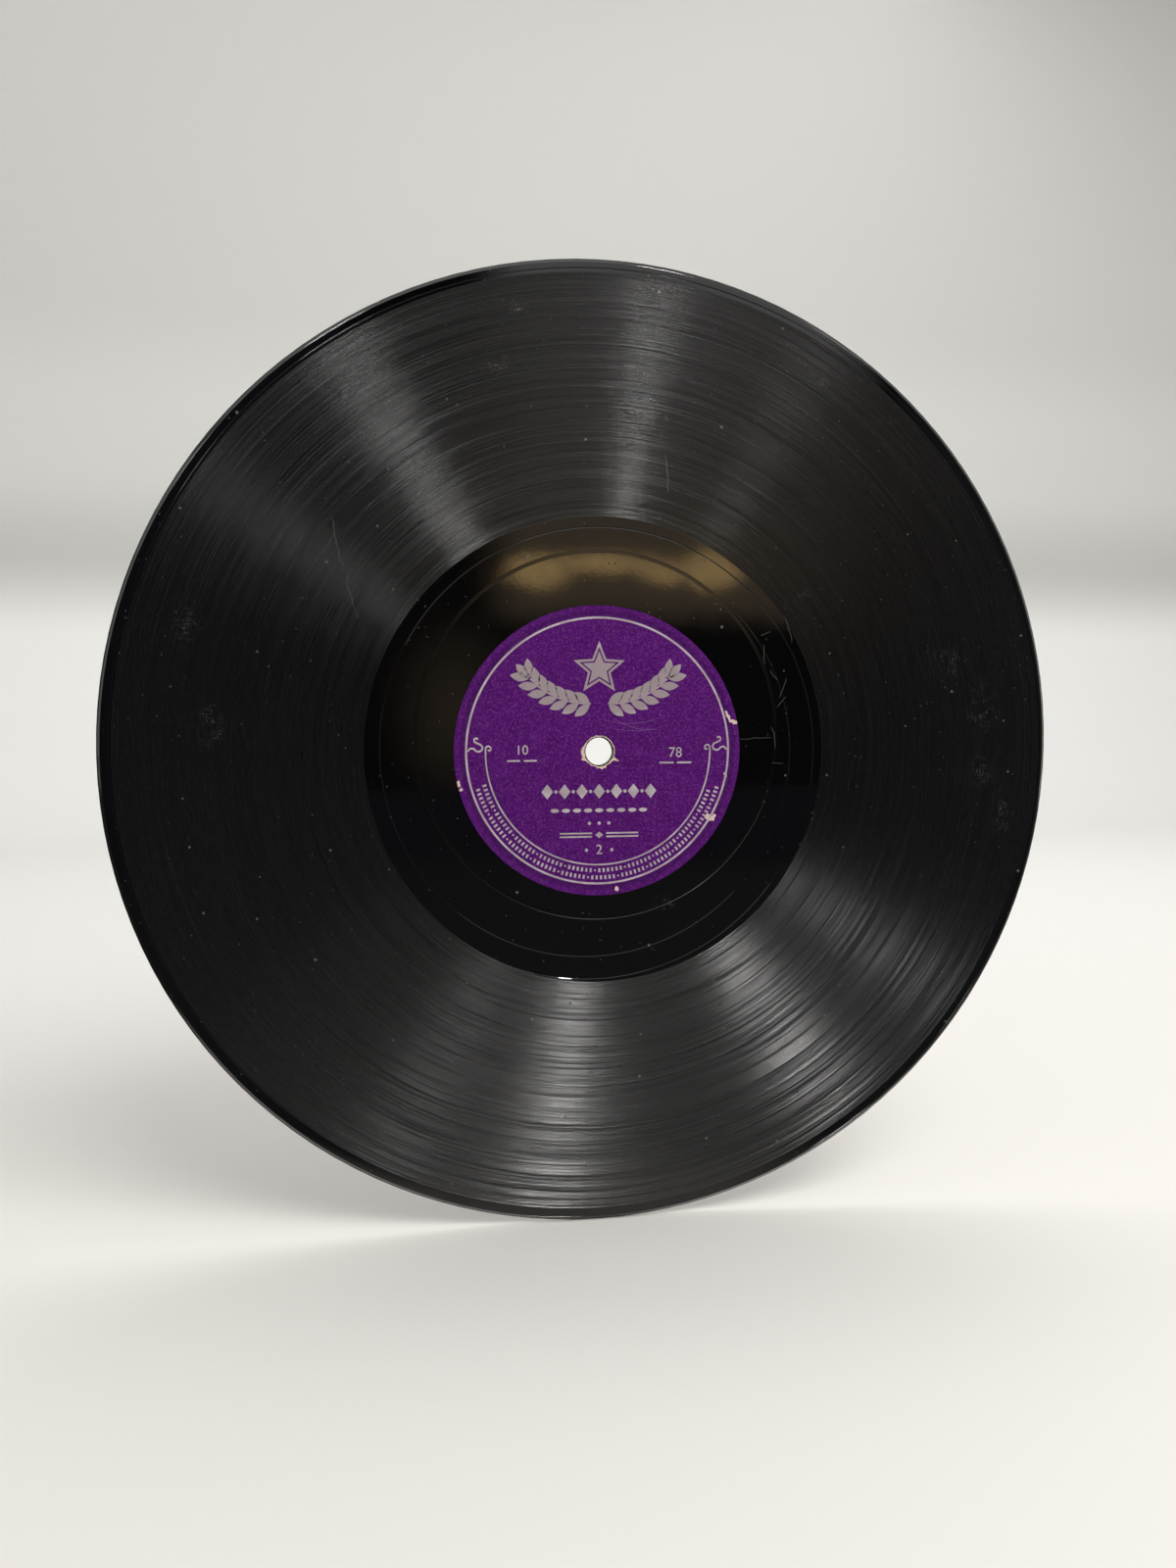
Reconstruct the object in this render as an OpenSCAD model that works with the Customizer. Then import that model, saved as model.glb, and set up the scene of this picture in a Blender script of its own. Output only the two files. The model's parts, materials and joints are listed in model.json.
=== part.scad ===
// Shellac record of the ten-inch size, pressed in one piece with a paper label on each face.
// It stands on its rim: the spindle hole runs along Y and the front face looks towards -Y.
// The origin is the middle of the spindle hole, halfway through the disc.
// The modules below lay the record flat, front face up, and stand() turns it upright.

/* [Disc] */
// Diameter over the rounded rim
disc_d = 252.4; // [230:0.1:310]
// Thickness between the two plain lands
disc_t = 2.2; // [1.8:0.05:3]
// Diameter of the spindle hole
hole_d = 7.26; // [6:0.01:9]
// Plain margin between the edge of the disc and the recorded band
margin_w = 3.5; // [2.5:0.1:8]

/* [Labels] */
// Diameter of each paper label
label_d = 76.2; // [70:0.1:90]
// Thickness of the label paper
label_t = 0.15; // [0.1:0.01:0.3]
// Depth of the paper's face below the land around it
label_sink = 0.02; // [0:0.01:0.1]
// Gap between the paper and the wall of its seat
label_gap = 0.05; // [0.02:0.01:0.2]
// Gap between the paper and the floor of its seat
label_floor_gap = 0.02; // [0.01:0.01:0.1]
// Width of the bare rim between the spindle hole and the hole in the paper
label_hole_gap = 0.4; // [0.2:0.05:1]
// Distance from the label's edge to the ring that the press leaves in it
press_ring_inset = 1.4; // [1:0.1:4]
// Width of that pressed ring
press_ring_w = 0.8; // [0.4:0.1:1.5]
// Depth of that pressed ring
press_ring_depth = 0.05; // [0.02:0.01:0.08]

/* [Recorded band] */
// Width of the plain land between the label and the recorded band
land_w = 22.9; // [20:0.1:40]
// Distance between neighbouring turns of the groove
groove_pitch = 0.27; // [0.25:0.01:0.4]
// One turn of the groove is cut for each of this many, as a closed ring
turns_per_cut = 4; // [3:1:12]
// Width of the groove at the surface
groove_w = 0.15; // [0.1:0.01:0.2]
// Depth of the groove
groove_depth = 0.065; // [0.03:0.005:0.09]
// Distance from the recorded band to the lead-in turn in the margin
lead_in_gap = 1; // [0.5:0.1:2]

/* [Run-out] */
// Gap between the label and the nearest point of the stopping groove's middle
stop_gap = 6; // [4:0.1:10]
// How far the stopping groove is off centre
stop_offset = 4; // [2:0.1:5]
// Width of the stopping groove at the surface
stop_w = 1; // [0.6:0.1:1.4]
// Width of the stopping groove's flat floor
stop_floor_w = 0.5; // [0.2:0.1:0.8]
// Depth of the stopping groove
stop_depth = 0.1; // [0.09:0.01:0.15]
// Width of the run-out groove at the surface
run_out_w = 0.4; // [0.2:0.05:0.5]
// Width of the run-out groove's flat floor
run_out_floor_w = 0.1; // [0.05:0.05:0.15]
// Depth of the run-out groove
run_out_depth = 0.08; // [0.04:0.01:0.09]
// Plain strip between the recorded band and the start of the run-out groove
run_out_gap = 0.4; // [0.2:0.1:1]

/* [Hidden] */
$fn = 180;

// Half-sizes of the blank, and where its flat face turns into the rounded rim
disc_r = disc_d / 2;
face_z = disc_t / 2;
hole_r = hole_d / 2;
flat_r = disc_r - face_z;

// Seat of a label: a shallow round recess in the land
label_r = label_d / 2;
seat_r = label_r + label_gap;
paper_z = face_z - label_sink;
paper_back_z = paper_z - label_t;
seat_z = paper_back_z - label_floor_gap;
label_hole_r = hole_r + label_hole_gap;
press_ring_r = label_r - press_ring_inset;

// Recorded band, with its turns counted inwards from its outer edge
band_inner_r = label_r + land_w;
band_outer_r = disc_r - margin_w;
turns = floor((band_outer_r - band_inner_r) / groove_pitch);
cuts = floor(turns / turns_per_cut);
cut_pitch = groove_pitch * turns_per_cut;
lead_in_r = band_outer_r + lead_in_gap;

// The run-out groove winds inwards in half turns about centres on one line, each half turn
// touching the next, and the last one runs into the stopping groove at its farthest point
half_turns = 3;
stop_r = label_r + stop_gap + stop_offset;
stop_far_r = stop_r + stop_offset;
run_out_start_r = band_inner_r - run_out_gap - run_out_w / 2;
run_out_step = (run_out_start_r - stop_far_r) / half_turns;

// Height of a groove cutter above the surface that it cuts
cut_over = 0.1;

// Turns a record that lies flat, front up, so that it stands on its rim
module stand() {
    rotate([90, 0, 0]) children();
}

// Puts a shape on the front face and the same shape, turned over, on the back face
module both_faces() {
    for (turn = [0, 180])
        rotate([0, turn, 0]) children();
}

// A list of points in the opposite order
function reversed(points) = [for (i = [len(points) - 1 : -1 : 0]) points[i]];

// A list of section points on the other face
function turned_over(points) = [for (p = points) [p.x, -p.y]];

// Three corners of one groove across the front face, from the inside outwards
function groove_corners(r) = [
    [r - groove_w / 2, face_z],
    [r, face_z - groove_depth],
    [r + groove_w / 2, face_z]
];

// Radii of the turns that are cut, from the inside outwards, with the lead-in turn last
function turn_radii() = concat(
    [for (i = [cuts - 1 : -1 : 0]) band_outer_r - groove_pitch / 2 - i * cut_pitch],
    [lead_in_r]
);

// Outline of the front face from the spindle hole to where the rounded rim begins
function face_outline() = [
    [hole_r, seat_z],
    [seat_r, seat_z],
    [seat_r, face_z],
    for (r = turn_radii()) each groove_corners(r),
    [flat_r, face_z]
];

// Pressed blank with its grooves as closed turns
module pressed_blank() {
    rotate_extrude() {
        polygon(concat(turned_over(face_outline()), reversed(face_outline())));
        translate([flat_r, 0]) circle(r = face_z);
    }
}

// Section of a groove cutter of the given widths and depth, centred on x = r at the front face
module cutter_section(r, width, floor_width, depth) {
    top_w = width + (width - floor_width) * cut_over / depth;
    translate([r, face_z])
        polygon([
            [-top_w / 2, cut_over],
            [-floor_width / 2, -depth],
            [floor_width / 2, -depth],
            [top_w / 2, cut_over]
        ]);
}

// Off-centre stopping groove: a full circle whose centre lies above the spindle hole
module stop_groove() {
    translate([0, stop_offset, 0])
        rotate_extrude()
            cutter_section(stop_r, stop_w, stop_floor_w, stop_depth);
}

// Run-out groove: half turns from the bottom of the band to the top of the stopping groove
module run_out_groove() {
    for (i = [0 : half_turns - 1]) {
        middle_r = run_out_start_r - (i + 0.5) * run_out_step;
        side = i % 2 == 0 ? -1 : 1;
        translate([0, side * run_out_step / 2, 0])
            rotate([0, 0, side * 90])
                rotate_extrude(angle = 180)
                    cutter_section(middle_r, run_out_w, run_out_floor_w, run_out_depth);
    }
}

module record_disc() {
    color([0.07, 0.06, 0.06])
        stand()
            difference() {
                pressed_blank();
                both_faces() {
                    stop_groove();
                    run_out_groove();
                }
            }
}

// One paper label on the front face, with the ring that the press leaves near its edge
module paper_label() {
    rotate_extrude()
        polygon([
            [label_hole_r, paper_back_z],
            [label_r, paper_back_z],
            [label_r, paper_z],
            [press_ring_r + press_ring_w / 2, paper_z],
            [press_ring_r, paper_z - press_ring_depth],
            [press_ring_r - press_ring_w / 2, paper_z],
            [label_hole_r, paper_z]
        ]);
}

module front_label() {
    color([0.31, 0.12, 0.38])
        stand() paper_label();
}

module back_label() {
    color([0.31, 0.12, 0.38])
        stand() rotate([0, 180, 0]) paper_label();
}

record_disc();
front_label();
back_label();
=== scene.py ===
# %% [markdown]
# # A shellac record standing on its rim
# A ten-inch record is one disc of dark shellac, pressed with a groove in each face and a paper
# label sunk into the middle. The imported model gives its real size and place. This lesson
# loads that model as a fixed frame and dresses it: a disc with its spiral groove, two worn
# paper labels, the silver print on them, and light that shows the groove as it does on a table.

import json
import math

import bpy
import numpy as np
from mathutils import Matrix, Vector


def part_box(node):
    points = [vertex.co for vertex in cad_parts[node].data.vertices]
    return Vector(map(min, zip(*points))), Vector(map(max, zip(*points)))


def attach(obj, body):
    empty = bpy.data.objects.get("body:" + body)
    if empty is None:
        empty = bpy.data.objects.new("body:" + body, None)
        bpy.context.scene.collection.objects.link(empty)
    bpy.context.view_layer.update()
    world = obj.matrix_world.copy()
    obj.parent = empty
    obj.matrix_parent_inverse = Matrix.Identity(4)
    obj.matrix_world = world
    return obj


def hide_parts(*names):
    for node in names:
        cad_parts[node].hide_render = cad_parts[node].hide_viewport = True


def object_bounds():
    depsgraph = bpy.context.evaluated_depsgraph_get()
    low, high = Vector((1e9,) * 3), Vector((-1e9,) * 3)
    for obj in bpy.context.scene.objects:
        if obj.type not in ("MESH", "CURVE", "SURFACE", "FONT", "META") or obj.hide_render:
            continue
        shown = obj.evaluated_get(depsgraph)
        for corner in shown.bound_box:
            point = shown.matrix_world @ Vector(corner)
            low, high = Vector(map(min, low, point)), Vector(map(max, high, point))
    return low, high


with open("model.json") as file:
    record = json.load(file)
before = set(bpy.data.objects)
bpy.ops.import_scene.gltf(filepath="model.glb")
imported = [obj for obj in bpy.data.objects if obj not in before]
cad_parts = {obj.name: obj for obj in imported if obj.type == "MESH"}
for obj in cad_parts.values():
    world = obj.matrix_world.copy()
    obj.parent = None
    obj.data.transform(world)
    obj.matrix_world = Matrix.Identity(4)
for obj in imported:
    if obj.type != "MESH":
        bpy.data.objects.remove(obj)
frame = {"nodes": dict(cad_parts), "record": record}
cad_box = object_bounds()
MM = 0.001
print("frame nodes:", sorted(frame["nodes"]))

# %% [markdown]
# ## The camera
# The record is seen from a little to the left of its axis and a little above its middle. A
# camera could be aimed with a Track To constraint. Here its place and its two angles are given
# as numbers, because they came from fitting the outlines of the disc and the label.

# %% Place the camera
CAMERA_AT = (-62.56, -347.39, 17.10)
CAMERA_TURN = -9.761
CAMERA_TILT = 4.171
bpy.ops.object.camera_add(location=[MM * part for part in CAMERA_AT])
camera = bpy.context.object
camera.name = "camera"
camera.rotation_euler = (math.radians(90 - CAMERA_TILT), 0, math.radians(CAMERA_TURN))
camera.data.sensor_width = 36
camera.data.lens = 30.825
camera.data.clip_start = 0.01
bpy.context.scene.camera = camera
bpy.context.scene.view_settings.view_transform = "Standard"
print("camera lens:", round(camera.data.lens, 2), "mm")

# %% [markdown]
# ## Small helpers for nodes
# A material is a tree of nodes. Wiring one by hand takes three steps each time: add a node, set
# its values, link its sockets. These helpers do the three steps in one call, so that the
# cells below read like a recipe.

# %% Helpers for nodes
def wire(tree, value, socket):
    """Link an output to a socket, or give the socket a plain value."""
    if isinstance(value, bpy.types.NodeSocket):
        tree.links.new(value, socket)
    else:
        socket.default_value = value


def calc(tree, operation, *values):
    """A Math node, and its result."""
    step = tree.nodes.new("ShaderNodeMath")
    step.operation = operation
    for value, socket in zip(values, step.inputs):
        wire(tree, value, socket)
    return step.outputs[0]


def times(tree, *values):
    """The product of several values."""
    product = values[0]
    for value in values[1:]:
        product = calc(tree, "MULTIPLY", product, value)
    return product


def largest(tree, values):
    """The largest of several values."""
    most = values[0]
    for value in values[1:]:
        most = calc(tree, "MAXIMUM", most, value)
    return most


def vector_calc(tree, operation, *values):
    """A Vector Math node, and its result: a number for a length or a distance."""
    step = tree.nodes.new("ShaderNodeVectorMath")
    step.operation = operation
    for value, socket in zip(values, step.inputs):
        wire(tree, value, socket)
    number = operation in ("LENGTH", "DISTANCE", "DOT_PRODUCT")
    return step.outputs["Value" if number else "Vector"]


def ramp(tree, value, start, end, low=0.0, high=1.0):
    """Turn a value that runs from start to end into one that runs smoothly from low to high."""
    step = tree.nodes.new("ShaderNodeMapRange")
    step.interpolation_type = "SMOOTHSTEP"
    sockets = ("Value", "From Min", "From Max", "To Min", "To Max")
    for name, number in zip(sockets, (value, start, end, low, high)):
        wire(tree, number, step.inputs[name])
    return step.outputs["Result"]


def mix(tree, amount, one, other):
    """A colour that goes from one to other as the amount goes from 0 to 1."""
    step = tree.nodes.new("ShaderNodeMix")
    step.data_type = "RGBA"
    for index, value in ((0, amount), (6, one), (7, other)):
        wire(tree, value, step.inputs[index])
    return step.outputs[2]


def noise(tree, place, scale, detail=2.0, roughness=0.5):
    """Cloudy noise between 0 and 1."""
    step = tree.nodes.new("ShaderNodeTexNoise")
    settings = {"Vector": place, "Scale": scale, "Detail": detail, "Roughness": roughness}
    for name, value in settings.items():
        wire(tree, value, step.inputs[name])
    return step.outputs[0]


def split(tree, place):
    """The three parts of a place: across, deep and up."""
    step = tree.nodes.new("ShaderNodeSeparateXYZ")
    wire(tree, place, step.inputs[0])
    return step.outputs["X"], step.outputs["Y"], step.outputs["Z"]


def new_material(name):
    """A material with nodes, its tree, its shader, and the place on the piece in millimetres."""
    material = bpy.data.materials.new(name)
    material.use_nodes = True
    tree = material.node_tree
    spot = tree.nodes.new("ShaderNodeTexCoord").outputs["Object"]
    place = vector_calc(tree, "MULTIPLY", spot, (1 / MM,) * 3)
    return material, tree, tree.nodes["Principled BSDF"], place


print("node helpers are ready")

# %% [markdown]
# ## The stage
# The record stands on a pale sheet that curves up into a backdrop. Such a sweep could be a bent
# cloth. A plane with its far edge extruded along a quarter circle gives the same smooth
# curve with few faces.

# %% Helpers for edit mode and for selecting
def edit():
    """Go into edit mode on the active piece."""
    bpy.ops.object.mode_set(mode="EDIT")


def leave_edit():
    """Go back to object mode."""
    bpy.ops.object.mode_set(mode="OBJECT")


def select_all():
    """Select all of the mesh being edited."""
    bpy.ops.mesh.select_all(action="SELECT")


def pick(piece, test):
    """In edit mode, select the vertices whose place in millimetres passes a test."""
    edit()
    bpy.ops.mesh.select_mode(type="VERT")
    bpy.ops.mesh.select_all(action="DESELECT")
    leave_edit()
    for vertex in piece.data.vertices:
        vertex.select = test(vertex.co / MM)
    edit()


def deselect():
    """Leave edit mode and deselect everything, the frame's own nodes among it."""
    if bpy.context.object and bpy.context.object.mode == "EDIT":
        leave_edit()
    bpy.ops.object.select_all(action="DESELECT")


def make_active(piece):
    """Select one piece alone, and make it the active one."""
    deselect()
    piece.select_set(True)
    bpy.context.view_layer.objects.active = piece


print("selection helpers are ready")

# %% Bend the sweep
FLOOR_Z = cad_box[0].z / MM
SWEEP_BACK = 900
SWEEP_RADIUS = 260
SWEEP_STEPS = 16
SHEET = 5000
WALL = 2200
deselect()
sheet_middle = (0, (SWEEP_BACK - SHEET / 2) * MM, FLOOR_Z * MM)
bpy.ops.mesh.primitive_plane_add(size=SHEET * MM, location=sheet_middle)
sweep = bpy.context.object
sweep.name = "sweep"
bpy.ops.object.transform_apply(location=True)
pick(sweep, lambda at: at.y > 0)
for number in range(SWEEP_STEPS):
    low = math.pi / 2 * number / SWEEP_STEPS
    high = math.pi / 2 * (number + 1) / SWEEP_STEPS
    back = SWEEP_RADIUS * (math.sin(high) - math.sin(low)) * MM
    rise = SWEEP_RADIUS * (math.cos(low) - math.cos(high)) * MM
    bpy.ops.mesh.extrude_region_move(TRANSFORM_OT_translate={"value": (0, back, rise)})
bpy.ops.mesh.extrude_region_move(TRANSFORM_OT_translate={"value": (0, 0, WALL * MM)})
make_active(sweep)
bpy.ops.object.shade_smooth()
print("sweep faces:", len(sweep.data.polygons))

# %% Paper of the sweep, with painted light and shade
NEAR_SHEET = (0.77, 0.755, 0.725, 1)
FAR_SHEET = (0.86, 0.86, 0.84, 1)
BEND_SHADE = (0.56, 0.56, 0.54, 1)
LOW_WALL = (0.66, 0.66, 0.64, 1)
HIGH_WALL = (0.60, 0.60, 0.58, 1)
DARK_ROOM = (0.01, 0.01, 0.014, 1)
material, tree, shader, place = new_material("sweep_paper")
across, deep, up = split(tree, place)
# The sheet's light and shade are painted into its colour: darker near the record and paler far back, a
# painted shade band where it bends up, and a wall painted darker higher up
pale = mix(tree, ramp(tree, deep, 0, 700), NEAR_SHEET, FAR_SHEET)
for low, high, tone in ((190, 285, BEND_SHADE), (285, 380, LOW_WALL), (430, 560, HIGH_WALL)):
    pale = mix(tree, ramp(tree, up, FLOOR_Z + low, FLOOR_Z + high), pale, tone)
# The gloss of the record shows the sheet in front of it as dark as the room beyond
away = calc(tree, "ABSOLUTE", deep)
front = largest(tree, [ramp(tree, away, 2, 60), ramp(tree, across, -130, -200)])
nearby = ramp(tree, vector_calc(tree, "LENGTH", place), 900, 1300, 0.95, 0.0)
glossy = tree.nodes.new("ShaderNodeLightPath").outputs["Is Glossy Ray"]
dark = times(tree, front, nearby, glossy)
wire(tree, mix(tree, dark, pale, DARK_ROOM), shader.inputs["Base Color"])
shader.inputs["Roughness"].default_value = 0.6
shader.inputs["Specular IOR Level"].default_value = 0.1
sweep.data.materials.append(material)
print("sweep nodes:", len(tree.nodes))

# %% [markdown]
# ## The light
# A grooved disc shows each lamp as a bright ray from the label to the rim, where the groove walls
# happen to tip that lamp towards the eye. So every ray stands for one lamp, and its angle
# says where the lamp hangs. One lamp could light everything, but then bright rays would mean
# a glaring sheet. So the ray lamps are seen by gloss alone, a broad fill lights the paper, and
# two more lamps light the floor and the wall.

# %% Hang the lamps
LAMP_COLOUR = (1.0, 0.98, 0.96)


def hang_lamp(name, place, aim, wide, high, power, gloss=True, paper=True):
    """An area lamp that faces a point, sized in metres, for gloss, for paper or for both."""
    bpy.ops.object.light_add(type="AREA", location=place)
    lamp = bpy.context.object
    lamp.name = name
    lamp.data.shape = "RECTANGLE"
    lamp.data.size = wide
    lamp.data.size_y = high
    lamp.data.energy = power
    lamp.data.color = LAMP_COLOUR
    lamp.rotation_euler = (Vector(aim) - lamp.location).to_track_quat("-Z", "Y").to_euler()
    lamp.visible_camera = False
    lamp.visible_glossy = gloss
    lamp.visible_diffuse = paper


RECORD = (0, 0, 0)
hang_lamp("lamp_right", (0.359, -0.494, 1.148), RECORD, 0.07, 0.20, 10, paper=False)
hang_lamp("lamp_left", (-0.346, -0.403, 0.727), RECORD, 0.055, 0.16, 4.6, paper=False)
hang_lamp("lamp_far_right", (0.532, -0.307, 0.658), RECORD, 0.11, 0.12, 1.0, paper=False)
hang_lamp("lamp_far_left", (-0.740, -0.548, 0.603), RECORD, 0.16, 0.15, 1.7, paper=False)
hang_lamp("lamp_ceiling", (0, -0.45, 1.30), RECORD, 1.6, 0.8, 3.4, paper=False)
hang_lamp("lamp_fill", (0.35, -0.75, 0.85), RECORD, 0.9, 0.5, 10.5, gloss=False)
hang_lamp("lamp_overhead", (0.55, 0.25, 0.95), (0.48, 0.2, 0), 1.4, 1.0, 6.2, gloss=False)
hang_lamp("lamp_backdrop", (-0.5, 0.40, 1.15), (-0.4, 1.1, 0.02), 1.8, 0.4, 4.6, gloss=False)

# %% [markdown]
# The plain part of the disc is as glossy as a black mirror, so it shows what stands in front of
# it: a warm arch above, a brown glow around it, and a dark room everywhere else. Lamps could
# make the glow, but a lamp's shape is a plain rectangle. A card with a glowing pattern, and a
# dark screen behind it, are seen by reflections alone, so they neither light nor shade the sheet.

# %% Helpers for what only reflections see
def show_in_gloss_only(piece):
    """Make a stage piece that reflections see, and nothing else does."""
    piece.visible_camera = False
    piece.visible_diffuse = False
    piece.visible_shadow = False
    piece.visible_transmission = False


def patch(tree, spot, middle, wide, high, soft=1.0):
    """A patch in the upright plane: 1 in its middle, 0 at its edge and outside, in millimetres."""
    step = vector_calc(tree, "SUBTRACT", spot, (middle[0], 0, middle[1]))
    step = vector_calc(tree, "MULTIPLY", step, (1 / wide, 0, 1 / high))
    return ramp(tree, vector_calc(tree, "LENGTH", step), 1.0, 1.0 - soft)


print("reflection helpers are ready")

# %% Warm card
CARD_AWAY = 660
CARD_WIDE, CARD_HIGH = 500, 440
CARD_RIGHT, CARD_UP = 180, 160
deselect()
bpy.ops.mesh.primitive_plane_add(size=1)
card = bpy.context.object
card.name = "warm_card"
edit()
bpy.ops.transform.resize(value=(CARD_WIDE * MM, CARD_HIGH * MM, 1))
bpy.ops.transform.rotate(value=math.pi / 2, orient_axis="X", center_override=(0, 0, 0))
bpy.ops.transform.translate(value=(CARD_RIGHT * MM, -CARD_AWAY * MM, CARD_UP * MM))
leave_edit()
show_in_gloss_only(card)
print("card stands", CARD_AWAY, "mm in front of the record")

# %% Glow on the card
ARCH = [((72, 103), 35, 18), ((128, 110), 62, 11), ((168, 104), 30, 14), ((207, 106), 34, 21)]
ARCH_SOFT = 0.65
GOLD = (3.4, 2.2, 0.82)
BROWN = (1.0, 0.76, 0.50, 1)
GREY = (0.78, 0.76, 0.75, 1)
material, tree, shader, place = new_material("warm_glow")
shader.inputs["Base Color"].default_value = (0, 0, 0, 1)
shader.inputs["Specular IOR Level"].default_value = 0.0
shift = calc(tree, "MULTIPLY_ADD", noise(tree, place, 0.05, 3, 0.6), 20, -10)
ragged_place = vector_calc(tree, "ADD", place, shift)
mottled = ramp(tree, noise(tree, place, 0.22, 3, 0.7), 0.3, 0.7, 0.65, 1.2)
arch = largest(tree, [patch(tree, ragged_place, *lobe, ARCH_SOFT) for lobe in ARCH])
arch = times(tree, arch, mottled)
across, deep, up = split(tree, ragged_place)
haze = times(tree, ramp(tree, across, 20, 70), ramp(tree, across, 350, 290))
haze = times(tree, haze, ramp(tree, up, 55, 85), ramp(tree, up, 110, 300, 0.55, 1.5))
haze = calc(tree, "ADD", haze, times(tree, patch(tree, ragged_place, (10, 0), 60, 90), 0.25))
tint = mix(tree, ramp(tree, up, 120, 190), BROWN, GREY)
glow = vector_calc(tree, "MULTIPLY", haze, tint)
glow = vector_calc(tree, "ADD", glow, vector_calc(tree, "MULTIPLY", arch, GOLD))
wire(tree, glow, shader.inputs["Emission Color"])
shader.inputs["Emission Strength"].default_value = 1.0
card.data.materials.append(material)
print("glow nodes:", len(tree.nodes))

# %% Dark screen for reflections
SCREEN_R = 750
SCREEN_HIGH = 460
DIM_LEFT = (0.03, 0.032, 0.046, 1)
DIM_RIGHT = (0.22, 0.22, 0.22, 1)
deselect()
bpy.ops.mesh.primitive_cylinder_add(
    vertices=48, radius=SCREEN_R * MM, depth=SCREEN_HIGH * MM, end_fill_type="NOTHING")
screen = bpy.context.object
screen.name = "dark_screen"
edit()
select_all()
bpy.ops.transform.translate(value=(0, 0, (SCREEN_HIGH / 2 + FLOOR_Z) * MM))
bpy.ops.mesh.bisect(plane_co=(0, 0.05, 0), plane_no=(0.14, 0.99, 0), clear_outer=True)
leave_edit()
show_in_gloss_only(screen)
material, tree, shader, place = new_material("dark_screen")
shader.inputs["Base Color"].default_value = (0.004, 0.004, 0.005, 1)
shader.inputs["Specular IOR Level"].default_value = 0.0
across, deep, up = split(tree, place)
dim = mix(tree, ramp(tree, across, 250, 700), DIM_LEFT, DIM_RIGHT)
wire(tree, dim, shader.inputs["Emission Color"])
shader.inputs["Emission Strength"].default_value = 1.0
screen.data.materials.append(material)
print("screen faces:", len(screen.data.polygons))

# %% Pale surroundings
LIGHT_GREY = (0.35, 0.35, 0.35, 1)
SEEN_GREY = (0.70, 0.70, 0.68, 1)
world = bpy.data.worlds.new("room")
bpy.context.scene.world = world
world.use_nodes = True
tree = world.node_tree
path = tree.nodes.new("ShaderNodeLightPath")
kinds = ("Is Camera Ray", "Is Glossy Ray", "Is Transmission Ray")
seen = largest(tree, [path.outputs[kind] for kind in kinds])
room = tree.nodes["Background"]
wire(tree, mix(tree, seen, LIGHT_GREY, SEEN_GREY), room.inputs["Color"])
print("world nodes:", len(tree.nodes))

# %% [markdown]
# ## The disc
# The real disc is one pressed biscuit, 2.2 mm thick, with a round edge and one long V-shaped
# groove on each face. A disc could be a cylinder with a picture of grooves. Here the section
# of one half is drawn as a line and spun, as on a lathe, so that the light finds real groove
# walls. Each face is its own half, because both together would be a very heavy mesh.

# %% Sizes of the disc
DISC_R = cad_box[1].x / MM
FACE_Z = cad_box[1].y / MM
HOLE_R = frame["record"]["mounts"][0]["dims"]["r_mm"]
FLAT_R = DISC_R - FACE_Z
LABEL_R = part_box("front_label")[1].x / MM
SEAT_R = LABEL_R + 0.05
SEAT_Z = 0.91
PITCH = 0.27
TURNS = 228
BAND_OUT = 122.565
BAND_IN = 61.0
GROOVE_HALF = 0.095
GROOVE_DEEP = 0.085
print("disc radius:", round(DISC_R, 2), "label radius:", round(LABEL_R, 2), "mm")

# %% Helpers for drawing a section and closing what is spun from it
def start_point(name, across, up):
    """A new mesh of one vertex, left in edit mode with that vertex selected."""
    deselect()
    bpy.ops.mesh.primitive_plane_add(size=MM)
    piece = bpy.context.object
    piece.name = name
    edit()
    bpy.ops.mesh.select_mode(type="VERT")
    bpy.ops.mesh.merge(type="CENTER")
    bpy.ops.transform.translate(value=(across * MM, 0, up * MM))
    return piece


def draw_line(start, points):
    """Extrude the selected vertex from one (across, up) point through the others."""
    for point in points:
        step = ((point[0] - start[0]) * MM, 0, (point[1] - start[1]) * MM)
        bpy.ops.mesh.extrude_vertices_move(TRANSFORM_OT_translate={"value": step})
        start = point


def close_shell():
    """Bridge the open ends of the mesh being edited, and turn its faces outwards."""
    bpy.ops.mesh.select_non_manifold(
        extend=False, use_wire=True, use_multi_face=False, use_non_contiguous=False, use_verts=False)
    bpy.ops.mesh.bridge_edge_loops()
    select_all()
    bpy.ops.mesh.normals_make_consistent(inside=False)


print("section helpers are ready")

# %% One notch of the groove, repeated across the band
first = (BAND_OUT + GROOVE_HALF, FACE_Z)
notch = [
    (BAND_OUT, FACE_Z - GROOVE_DEEP),
    (BAND_OUT - GROOVE_HALF, FACE_Z),
    (BAND_OUT + GROOVE_HALF - PITCH, FACE_Z),
]
disc_front = start_point("disc_front", *first)
draw_line(first, notch)
leave_edit()
turns = disc_front.modifiers.new("turns", "ARRAY")
turns.count = TURNS
turns.use_relative_offset = False
turns.use_constant_offset = True
turns.constant_offset_displace = (-PITCH * MM, 0, 0)
turns.use_merge_vertices = True
turns.merge_threshold = 1e-6
bpy.ops.object.modifier_apply(modifier="turns")
print("band section points:", len(disc_front.data.vertices))

# %% Outside the band: the lead-in turn and the worn edge
LEAD_IN = [(123.6, 0), (123.7, 0.05), (123.8, 0), (FLAT_R, 0)]
RIM = [
    (0.06, 1.085), (0.12, 1.04), (0.2, 0.95), (0.74, 0.29),
    (0.8, 0.22), (0.88, 0.16), (1.04, 0.08), (1.1, 0),
]
edge_points = [(out, FACE_Z - deep) for out, deep in LEAD_IN]
edge_points += [(FLAT_R + out, up) for out, up in RIM]
pick(disc_front, lambda at: at.x > BAND_OUT + GROOVE_HALF - 0.01)
draw_line(first, edge_points)
print("edge points:", len(edge_points))

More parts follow.
